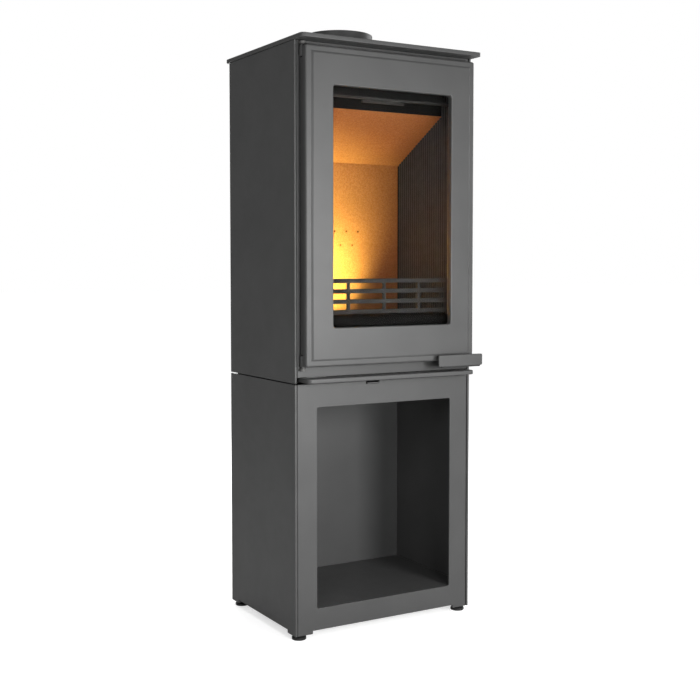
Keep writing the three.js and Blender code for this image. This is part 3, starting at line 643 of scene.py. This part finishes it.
rim = 0.0118
field_low = (-half_door + rim, door_rim, low.z + rim)
field = add_block("raised_field", field_low, (half_door - rim, door_rim + 0.004, high.z - rim))
pick_faces(field, lambda middle, normal: normal.y < -0.9)
bpy.ops.mesh.inset(thickness=0.0042, depth=0.003)
bpy.ops.object.mode_set(mode="OBJECT")
round_edges(field, 0.0006, 2, on_plane(1, door_face), sharper=20)
add_to(door, field)
window_low = (-window_half, door_face - 0.01, window_low_z)
window_high = (window_half, ring_back + 0.01, window_high_z)
carve(door, rounded_cutter("window", window_low, window_high, 0.0055, segments=6))
glass_low, glass_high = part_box("door_glass")
rebate_low = (glass_low.x - 0.002, door_back - 0.005, glass_low.z - 0.002)
rebate_high = (glass_high.x + 0.002, ring_back + 0.01, glass_high.z + 0.002)
carve(door, rounded_cutter("rebate", rebate_low, rebate_high, 0.003, segments=3))
round_edges(door, 0.0022, 4, on_plane(1, door_face), sharper=60)


def ring_between(name, outer_half, inner_half, outer_z, inner_z, radius):
    """A raised ring on the back of the casting, between two rounded rectangles."""
    ring = rounded_cutter(
        name, (-outer_half, door_back - 0.001, outer_z[0]), (outer_half, ring_back, outer_z[1]), radius
    )
    hole_low = (-inner_half, door_back - 0.01, inner_z[0])
    hole_high = (inner_half, ring_back + 0.01, inner_z[1])
    carve(ring, rounded_cutter("hole", hole_low, hole_high, radius * 0.8))
    round_edges(ring, 0.001, 2, on_plane(1, ring_back), sharper=60)
    return ring


seal_low, seal_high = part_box("rope_seal")
channel = 0.012
outer_ring = ring_between(
    "outer_ring", 0.193, seal_high.x + 0.0003,
    (seal_low.z - 0.0108, seal_high.z + 0.0108), (seal_low.z - 0.0003, seal_high.z + 0.0003), 0.006,
)
inner_ring = ring_between(
    "inner_ring", seal_high.x - channel, 0.163,
    (seal_low.z + channel, seal_high.z - channel), (seal_low.z + 0.0195, seal_high.z - 0.0195), 0.005,
)
skirt_back = door_face + 0.026
skirt_low = (-half_door, door_back - 0.001, low.z)
skirt = rounded_cutter("skirt", skirt_low, (half_door, skirt_back, high.z), outer_corner)
skirt_wall = 0.0036
inside_low = (-half_door + skirt_wall, door_back - 0.01, low.z - 0.01)
inside_high = (half_door - skirt_wall, skirt_back + 0.01, high.z - skirt_wall)
carve(skirt, add_block("inside", inside_low, inside_high))
knuckle_room = 0.0245
lower_room_high = (half_door + 0.01, skirt_back + 0.01, low.z + knuckle_room)
lower_room = add_block("lower_room", (-half_door - 0.01, door_back - 0.01, low.z - 0.01), lower_room_high)
upper_room_low = (-half_door - 0.01, door_back - 0.01, high.z - knuckle_room)
upper_room = add_block("upper_room", upper_room_low, (-half_door + 0.02, skirt_back + 0.01, high.z + 0.01))
carve(skirt, lower_room, upper_room)
round_edges(skirt, 0.001, 3, on_plane(1, skirt_back), sharper=60)
hinge = Vector(next(j["pos_m"] for j in frame["joints"] if j["name"] == "door_swing"))
knuckle_high = 0.022
pin_hole = 0.0039
barrel_profile = [(pin_hole, 0.0), (0.0055, 0.0), (0.006, 0.0005), (0.006, knuckle_high - 0.0005)]
barrel_profile += [(0.0055, knuckle_high), (pin_hole, knuckle_high)]
knuckles = []
for bottom in (low.z, high.z - knuckle_high):
    knuckles.append(turned("barrel", barrel_profile, (hinge.x, hinge.y, bottom), (0, 0, 1), 32))
    web_low = (hinge.x - 0.004, door_back - 0.001, bottom)
    knuckles.append(add_block("web", web_low, (hinge.x + 0.006, hinge.y - 0.0042, bottom + knuckle_high)))
whole_door = join(door, skirt, outer_ring, inner_ring, *knuckles)
finish(whole_door, anthracite, "paint", "door", "door_frame", smooth=35)


# ---- Hinge brackets -----------------------------------------------------------------------------------
# Two iron lugs bolted to the body front, each with the pin that a door knuckle turns on. They are left in
# a dark matt finish.

for name in ("hinge_bracket_upper", "hinge_bracket_lower"):
    trim_node(name, grey_iron, 0.0004)


# ---- Glass and its seals ------------------------------------------------------------------------------
# 4 mm clear glass ceramic on a woven tape, clamped by two screwed steel strips, and an 11 mm braided
# glass-fibre rope glued in the channel of the casting, which presses on the body when the door is shut.

glass, tree, shader, place = new_material("glass_ceramic")
tint = tones(tree, noise(tree, place, 3.0), (0.3, (0.97, 0.965, 0.95)), (0.7, (0.99, 0.985, 0.975)))
tree.links.new(tint, shader.inputs["Base Color"])
shader.inputs["Roughness"].default_value = 0.0
shader.inputs["IOR"].default_value = 1.13
shader.inputs["Transmission Weight"].default_value = 1.0
nodes["door_glass"].data.materials.clear()
nodes["door_glass"].data.materials.append(glass)

braid, tree, shader, place = new_material("braided_glass_fibre")
strands = []
for turn in (45, -45):
    lean = tree.nodes.new("ShaderNodeMapping")
    lean.inputs["Rotation"].default_value = (0, math.radians(turn), 0)
    tree.links.new(place, lean.inputs["Vector"])
    wave = tree.nodes.new("ShaderNodeTexWave")
    wave.inputs["Scale"].default_value = 110.0
    wave.inputs["Distortion"].default_value = 1.0
    tree.links.new(lean.outputs["Vector"], wave.inputs["Vector"])
    strands.append(wave.outputs["Fac"])
crossing = tree.nodes.new("ShaderNodeMath")
crossing.operation = "MULTIPLY"
tree.links.new(strands[0], crossing.inputs[0])
tree.links.new(strands[1], crossing.inputs[1])
strand_dark, strand_light = (0.028, 0.027, 0.025), (0.12, 0.115, 0.105)
strand_colour = tones(tree, crossing.outputs["Value"], (0.0, strand_dark), (0.8, strand_light))
tree.links.new(strand_colour, shader.inputs["Base Color"])
tree.links.new(spread(tree, noise(tree, place, 300.0), 0.85, 1.0), shader.inputs["Roughness"])
tree.links.new(bumps(tree, crossing.outputs["Value"], 0.0008, 0.8), shader.inputs["Normal"])


def rope_ring(name, low, high, radius, corner, body, node):
    """A round rope laid in a rectangle with rounded corners."""
    bpy.ops.object.select_all(action="DESELECT")
    bpy.ops.mesh.primitive_plane_add(size=1, location=(0, 0, 0), rotation=(math.pi / 2, 0, 0))
    rope = bpy.context.object
    rope.name = name
    rope.scale = (high.x - low.x - 2 * radius, high.z - low.z - 2 * radius, 1)
    rope.location = (low + high) / 2
    bpy.ops.object.transform_apply(location=True, rotation=True, scale=True)
    bpy.ops.object.mode_set(mode="EDIT")
    bpy.ops.mesh.select_all(action="SELECT")
    bpy.ops.mesh.bevel(offset=corner, segments=6, affect="VERTICES")
    bpy.ops.mesh.select_all(action="SELECT")
    bpy.ops.mesh.delete(type="ONLY_FACE")
    bpy.ops.object.mode_set(mode="OBJECT")
    bpy.ops.object.convert(target="CURVE")
    rope = bpy.context.object
    rope.data.bevel_depth = radius
    rope.data.bevel_resolution = 4
    bpy.ops.object.convert(target="MESH")
    rope = bpy.context.object
    finish(rope, braid, "rope", body, node, smooth=60)


rope_ring("braided_rope", seal_low, seal_high, 0.0056, 0.008, "door", "rope_seal")
trim_node("glass_gasket", braid, 0.0003)
for name in ("glass_retainer_left", "glass_retainer_right"):
    trim_node(name, steel, 0.0003)
strip_low, strip_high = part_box("glass_retainer_right")
strip_middle = (strip_low.x + strip_high.x) / 2
first_place = (strip_middle, strip_high.y + 0.0001, strip_low.z + 0.03)
first = button_screw("retainer_screw", first_place, (0, 1, 0), 0.0032)
finish(first, dark_steel, "plain_steel", "door")
rise = (strip_high.z - strip_low.z - 0.06) / 2
for column in range(2):
    for row in range(3):
        if column or row:
            shift = (-column * 2 * strip_middle, 0, row * rise)
            screw = copy_of(first, f"retainer_screw_{column}_{row}", shift)
            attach(screw, "door")


# ---- Handle and latch ---------------------------------------------------------------------------------
# A painted steel face plate screwed to a black core, on the spindle that turns the blackened tongue behind
# the door. The end of the tongue drops behind a spring leaf that is riveted to a foot on the body.

black = powder_coat("black_coat", (0.009, 0.009, 0.009), (0.013, 0.013, 0.013), 0.42, 1500.0, 0.0001)
low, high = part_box("handle_plate")
face_plate = add_block("handle_face_plate", low, high)
round_edges(face_plate, 0.0015, 3, lambda a, b: along(1)(a, b) and near(a.x, low.x))
round_edges(face_plate, 0.0024, 5, lambda a, b: along(1)(a, b) and near(a.x, high.x))
round_edges(face_plate, 0.0009, 3, sharper=60)
finish(face_plate, anthracite, "paint", "handle", "handle_plate")

plate_low, plate_high = low, high
low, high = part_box("handle_core")
core_low = (plate_low.x + 0.011, low.y, plate_low.z - 0.0034)
core = add_block("handle_black_core", core_low, (plate_high.x - 0.0008, high.y, high.z))
round_edges(core, 0.003, 5, along(1))
round_edges(core, 0.001, 3, sharper=60)
finish(core, black, "black_coating", "handle", "handle_core")
for name in ("handle_spindle", "latch_tongue", "catch_foot", "catch_spring"):
    trim_node(name, dark_steel, 0.0004)


# ---- Levelling feet -----------------------------------------------------------------------------------
# Black turned pads, 30 mm across, on zinc-plated threaded studs that wind into nuts welded on two rails.

pad_radius = 0.015
pad_height = 0.008
stud_radius = 0.005
for row in ("front", "rear"):
    for side in ("left", "right"):
        node = f"foot_{row}_{side}"
        low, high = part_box(node)
        middle = ((low.x + high.x) / 2, (low.y + high.y) / 2, low.z)
        body = f"{row}_{side}_foot"
        pad_profile = [(0.0, 0.0), (pad_radius - 0.001, 0.0), (pad_radius, 0.001), (pad_radius, 0.0045)]
        pad_profile += [(pad_radius - 0.001, 0.0058), (pad_radius - 0.004, pad_height - 0.0008)]
        pad_profile += [(stud_radius + 0.002, pad_height), (0.0, pad_height)]
        pad = turned(f"pad_{row}_{side}", pad_profile, middle, (0, 0, 1), 48)
        finish(pad, black, "black_coating", body, node, smooth=30)
        stud_profile = [(0.0, pad_height - 0.001), (stud_radius - 0.0006, pad_height - 0.001)]
        turns = 24
        step = (high.z - low.z - pad_height) / turns
        for turn in range(turns):
            stud_profile.append((stud_radius, pad_height + (turn + 0.5) * step))
            stud_profile.append((stud_radius - 0.0006, pad_height + (turn + 1) * step))
        stud_profile.append((0.0, high.z - low.z))
        stud = turned(f"stud_{row}_{side}", stud_profile, middle, (0, 0, 1), 24)
        finish(stud, steel, "plain_steel", body, smooth=60)
for name in ("foot_rail_front", "foot_rail_rear"):
    trim_node(name, steel, 0.0004)


# ---- Floor, light and camera --------------------------------------------------------------------------
# A pale floor, even white light from all round, soft boxes in front, and the warm light that a fire
# would throw on the boards. Floor and sky are seen brighter than they light the stove.

bpy.ops.object.select_all(action="DESELECT")
bpy.ops.mesh.primitive_plane_add(size=60, location=(0, 0, 0))
floor = bpy.context.object
floor.name = "pale_floor"
pale = bpy.data.materials.new("pale_floor")
pale.use_nodes = True
paint = pale.node_tree.nodes["Principled BSDF"]
paint.inputs["Base Color"].default_value = (0.5, 0.5, 0.5, 1.0)
paint.inputs["Roughness"].default_value = 0.9
paint.inputs["Emission Color"].default_value = (1, 1, 1, 1)
seen = pale.node_tree.nodes.new("ShaderNodeLightPath")
glow = pale.node_tree.nodes.new("ShaderNodeMapRange")
glow.inputs["To Min"].default_value = 0.05
glow.inputs["To Max"].default_value = 0.62
pale.node_tree.links.new(seen.outputs["Is Camera Ray"], glow.inputs["Value"])
pale.node_tree.links.new(glow.outputs["Result"], paint.inputs["Emission Strength"])
floor.data.materials.append(pale)

scene = bpy.context.scene
scene.view_settings.view_transform = "Standard"
world = bpy.data.worlds.new("studio")
scene.world = world
world.use_nodes = True
sky = world.node_tree.nodes["Background"]
sky.inputs["Color"].default_value = (1, 1, 1, 1)
rays = world.node_tree.nodes.new("ShaderNodeLightPath")
brightness = world.node_tree.nodes.new("ShaderNodeMapRange")
brightness.inputs["To Min"].default_value = 0.36
brightness.inputs["To Max"].default_value = 1.0
world.node_tree.links.new(rays.outputs["Is Camera Ray"], brightness.inputs["Value"])
world.node_tree.links.new(brightness.outputs["Result"], sky.inputs["Strength"])


def soft_light(name, place, aim, size, power, colour=(1, 1, 1)):
    """A rectangular lamp that points at a place and is not seen itself."""
    lamp = bpy.data.lights.new(name, "AREA")
    lamp.shape = "RECTANGLE"
    lamp.size, lamp.size_y = size
    lamp.energy = power
    lamp.color = colour
    holder = bpy.data.objects.new(name, lamp)
    holder.location = place
    holder.rotation_euler = (Vector(aim) - Vector(place)).to_track_quat("-Z", "Y").to_euler()
    holder.visible_camera = False
    holder.visible_transmission = False
    scene.collection.objects.link(holder)
    return holder


sun_data = bpy.data.lights.new("floor_light", "SUN")
sun_data.energy = 1.35
sun_data.angle = math.radians(12)
scene.collection.objects.link(bpy.data.objects.new("floor_light", sun_data))
soft_light("right_soft_box", (0.33, -1.75, 0.76), (-0.1, -0.15, 0.90), (0.45, 0.6), 39)
soft_light("far_left_fill", (-1.35, -1.25, 1.15), (-0.2, -0.1, 0.95), (0.4, 0.6), 9)
soft_light("rear_fill", (0.7, 2.4, 1.3), (0, 0.15, 0.6), (1.2, 1.0), 34)
soft_light("far_right_fill", (2.2, 0.3, 1.2), (0.2, 0, 0.6), (1.0, 1.0), 24)
soft_light("left_fill", (-0.35, -1.8, 0.55), (0, -0.15, 0.5), (0.3, 0.4), 18)
soft_light("fire_glow", (-0.03, -0.02, 0.74), (0.0, 0.05, 1.05), (0.2, 0.10), 0.12, (1.0, 0.36, 0.12))
heart_place, heart_aim = (-0.03, -0.04, 0.68), (-0.07, 0.09, 0.79)
heart = soft_light("fire_heart", heart_place, heart_aim, (0.12, 0.08), 1.5, (0.92, 1.0, 0.4))
heart.data.spread = math.radians(110)

camera_data = bpy.data.cameras.new("camera")
camera_data.lens = 58.189
camera_data.shift_y = -0.035
camera = bpy.data.objects.new("camera", camera_data)
scene.collection.objects.link(camera)
camera.location = (-1.26629, -2.14800, 0.76443)
camera.rotation_euler = (math.radians(90 - 3.0411), 0, math.radians(-30.4646))
scene.camera = camera
